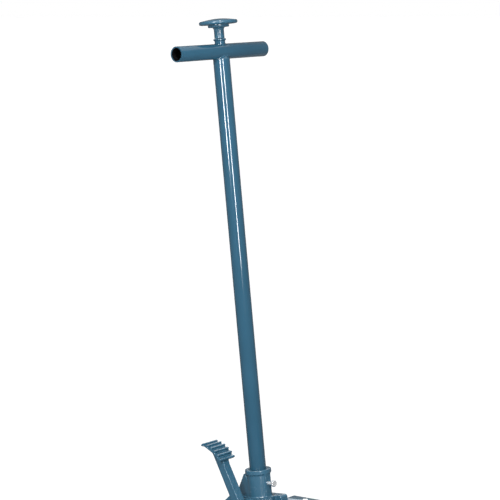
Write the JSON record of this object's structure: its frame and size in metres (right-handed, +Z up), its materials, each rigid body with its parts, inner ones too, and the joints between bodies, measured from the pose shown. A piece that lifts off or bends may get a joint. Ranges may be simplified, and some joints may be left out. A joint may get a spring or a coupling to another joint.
{
  "type": "hydraulic trolley jack",
  "caption": "Low wheeled car jack with a tall T-bar handle, release knob, foot pedal, lifting arm and swivelling saddle, worked by a hydraulic power unit between its side plates.",
  "frame": {"origin": "on the floor, at the centre of the footprint of the whole jack with its handle upright", "axes": "+X forwards to the saddle, +Y to the jack's left, +Z up"},
  "size_m": [0.806, 0.352, 1.16],
  "materials": {
    "blue_paint": "semi-gloss slate blue enamel over steel and iron",
    "blue_cast_paint": "semi-gloss slate blue enamel over cast iron",
    "zinc_steel": "bright zinc plated",
    "ground_steel": "ground steel",
    "chrome": "hard chrome",
    "black_steel": "black oxide",
    "cast_iron": "dark cast iron",
    "rubber": "matte black rubber",
    "nylon": "black nylon"
  },
  "bodies": {
    "chassis": {"side_plate_right": "blue_paint", "side_plate_left": "blue_paint", "front_cross_member": "blue_paint", "rear_tie_rod": "zinc_steel", "caster_wings": "blue_paint", "caster_plates": "zinc_steel", "caster_bolts": "zinc_steel", "power_unit_block": "blue_cast_paint", "reservoir": "blue_paint", "cylinder_end_cap": "zinc_steel", "pump_glands": "zinc_steel", "power_unit_cover": "blue_paint", "cover_screws": "zinc_steel", "filler_plug": "black_steel", "power_unit_bolts": "zinc_steel", "handle_axle": "ground_steel", "axle_circlips": "black_steel", "axle_spacers": "ground_steel", "pivot_shaft": "ground_steel", "pivot_nuts": "zinc_steel", "rod_studs": "zinc_steel", "front_axle": "ground_steel", "spring_anchors": "zinc_steel", "pump_spring": "black_steel", "quick_pump_spring": "black_steel", "lift_springs": "black_steel", "pedal_spring": "black_steel"},
    "lift_arm": {"lift_arm": "blue_paint", "heel_roller_pin": "ground_steel", "head_pin": "ground_steel"},
    "heel_roller": {"heel_roller": "ground_steel"},
    "ram": {"ram": "chrome"},
    "radius_rods": {"radius_rod_right": "blue_paint", "radius_rod_left": "blue_paint"},
    "saddle_carrier": {"saddle_carrier": "blue_cast_paint", "rod_pin": "ground_steel"},
    "saddle": {"saddle": "cast_iron", "saddle_pad": "rubber"},
    "handle_socket": {"handle_socket": "blue_cast_paint", "socket_pins": "zinc_steel"},
    "pump_roller": {"pump_roller": "ground_steel"},
    "pump_plunger": {"pump_plunger": "chrome"},
    "handle": {"handle_tube": "blue_paint", "t_bar": "blue_paint", "knob_bush": "blue_paint"},
    "release_knob": {"release_knob": "blue_cast_paint"},
    "release_rod": {"release_rod": "ground_steel"},
    "release_lever": {"release_lever": "ground_steel"},
    "release_valve_pin": {"release_valve_pin": "ground_steel"},
    "thumb_screw": {"thumb_screw": "chrome"},
    "foot_pedal": {"foot_pedal": "blue_cast_paint"},
    "quick_plunger": {"quick_plunger": "chrome"},
    "front_wheel_right": {"front_wheel_right": "cast_iron"},
    "front_wheel_left": {"front_wheel_left": "cast_iron"},
    "caster_fork_right": {"caster_fork_right": "zinc_steel"},
    "caster_fork_left": {"caster_fork_left": "zinc_steel"},
    "caster_wheel_right": {"caster_wheel_right": "nylon"},
    "caster_wheel_left": {"caster_wheel_left": "nylon"}
  },
  "joints": [
    {"name": "lift", "type": "hinge", "parent": "chassis", "child": "lift_arm", "pos_m": [-0.00197, 0, 0.122], "axis": [0, -1, 0], "range_deg": [0, 66]},
    {"name": "heel_roller_spin", "type": "hinge", "parent": "lift_arm", "child": "heel_roller", "pos_m": [-0.03192, 0, 0.07587], "axis": [0, 1, 0], "continuous": true},
    {"name": "ram_stroke", "type": "slide", "parent": "chassis", "child": "ram", "axis": [1, 0, 0], "range_m": [0, 0.061], "deforming": ["lift_springs"]},
    {"name": "radius_rods_swing", "type": "hinge", "parent": "chassis", "child": "radius_rods", "pos_m": [-0.01997, 0, 0.15], "axis": [0, -1, 0], "range_deg": [0, 66]},
    {"name": "saddle_level", "type": "hinge", "parent": "lift_arm", "child": "saddle_carrier", "pos_m": [0.32482, 0, 0.07607], "axis": [0, -1, 0], "range_deg": [-66, 0]},
    {"name": "saddle_turn", "type": "hinge", "parent": "saddle_carrier", "child": "saddle", "pos_m": [0.32482, 0, 0.11707], "axis": [0, 0, 1], "continuous": true},
    {"name": "handle_pump", "type": "hinge", "parent": "chassis", "child": "handle_socket", "pos_m": [-0.24197, 0, 0.12], "axis": [0, -1, 0], "range_deg": [0, 55]},
    {"name": "pump_roller_spin", "type": "hinge", "parent": "handle_socket", "child": "pump_roller", "pos_m": [-0.2549, 0, 0.09516], "axis": [0, 1, 0], "continuous": true},
    {"name": "pump_stroke", "type": "slide", "parent": "chassis", "child": "pump_plunger", "axis": [1, 0, 0], "range_m": [0, 0.0262], "deforming": ["pump_spring"]},
    {"name": "handle_pull_out", "type": "slide", "parent": "handle_socket", "child": "handle", "axis": [-0.1167, 0, 0.9932], "range_m": [0, 0.055]},
    {"name": "knob_turn", "type": "hinge", "parent": "handle", "child": "release_knob", "pos_m": [-0.36307, 0, 1.15091], "axis": [-0.1167, 0, 0.9932], "range_deg": [0, 180]},
    {"name": "rod_push", "type": "slide", "parent": "handle", "child": "release_rod", "axis": [0.1167, 0, -0.9932], "range_m": [0, 0.004], "stiffness_N_per_m": 420, "springref_m": -0.017},
    {"name": "lever_rock", "type": "hinge", "parent": "handle_socket", "child": "release_lever", "pos_m": [-0.21433, 0, 0.14187], "axis": [0, -1, 0], "range_deg": [0, 8]},
    {"name": "valve_push", "type": "slide", "parent": "chassis", "child": "release_valve_pin", "axis": [1, 0, 0], "range_m": [0, 0.0026]},
    {"name": "thumb_screw_turn", "type": "hinge", "parent": "handle_socket", "child": "thumb_screw", "pos_m": [-0.21049, 0, 0.19488], "axis": [0.9932, 0, 0.1167], "range_deg": [0, 360]},
    {"name": "pedal_press", "type": "hinge", "parent": "chassis", "child": "foot_pedal", "pos_m": [-0.24197, -0.056, 0.12], "axis": [0, -1, 0], "range_deg": [0, 40], "stiffness_Nm_per_rad": 4, "springref_deg": -28.65},
    {"name": "quick_stroke", "type": "slide", "parent": "chassis", "child": "quick_plunger", "axis": [1, 0, 0], "range_m": [0, 0.018], "deforming": ["quick_pump_spring"]},
    {"name": "front_wheel_right_spin", "type": "hinge", "parent": "chassis", "child": "front_wheel_right", "pos_m": [0.36303, -0.102, 0.04], "axis": [0, 1, 0], "continuous": true},
    {"name": "front_wheel_left_spin", "type": "hinge", "parent": "chassis", "child": "front_wheel_left", "pos_m": [0.36303, 0.102, 0.04], "axis": [0, 1, 0], "continuous": true},
    {"name": "caster_right_swivel", "type": "hinge", "parent": "chassis", "child": "caster_fork_right", "pos_m": [-0.22697, -0.14, 0.085], "axis": [0, 0, 1], "continuous": true},
    {"name": "caster_right_roll", "type": "hinge", "parent": "caster_fork_right", "child": "caster_wheel_right", "pos_m": [-0.24897, -0.14, 0.03], "axis": [0, 1, 0], "continuous": true},
    {"name": "caster_left_swivel", "type": "hinge", "parent": "chassis", "child": "caster_fork_left", "pos_m": [-0.22697, 0.14, 0.085], "axis": [0, 0, 1], "continuous": true},
    {"name": "caster_left_roll", "type": "hinge", "parent": "caster_fork_left", "child": "caster_wheel_left", "pos_m": [-0.24897, 0.14, 0.03], "axis": [0, 1, 0], "continuous": true}
  ],
  "couplings": [
    {"joint": "ram_stroke", "follows": "lift", "m_per_rad": 0.052009},
    {"joint": "radius_rods_swing", "follows": "lift", "ratio": 1},
    {"joint": "saddle_level", "follows": "lift", "ratio": -1},
    {"joint": "pump_stroke", "follows": "handle_pump", "m_per_rad": 0.026937},
    {"joint": "quick_stroke", "follows": "pedal_press", "m_per_rad": 0.025475},
    {"joint": "knob_turn", "follows": "rod_push", "rad_per_m": 785.4},
    {"joint": "lever_rock", "follows": "rod_push", "rad_per_m": 33.161},
    {"joint": "valve_push", "follows": "rod_push", "ratio": 0.575}
  ]
}
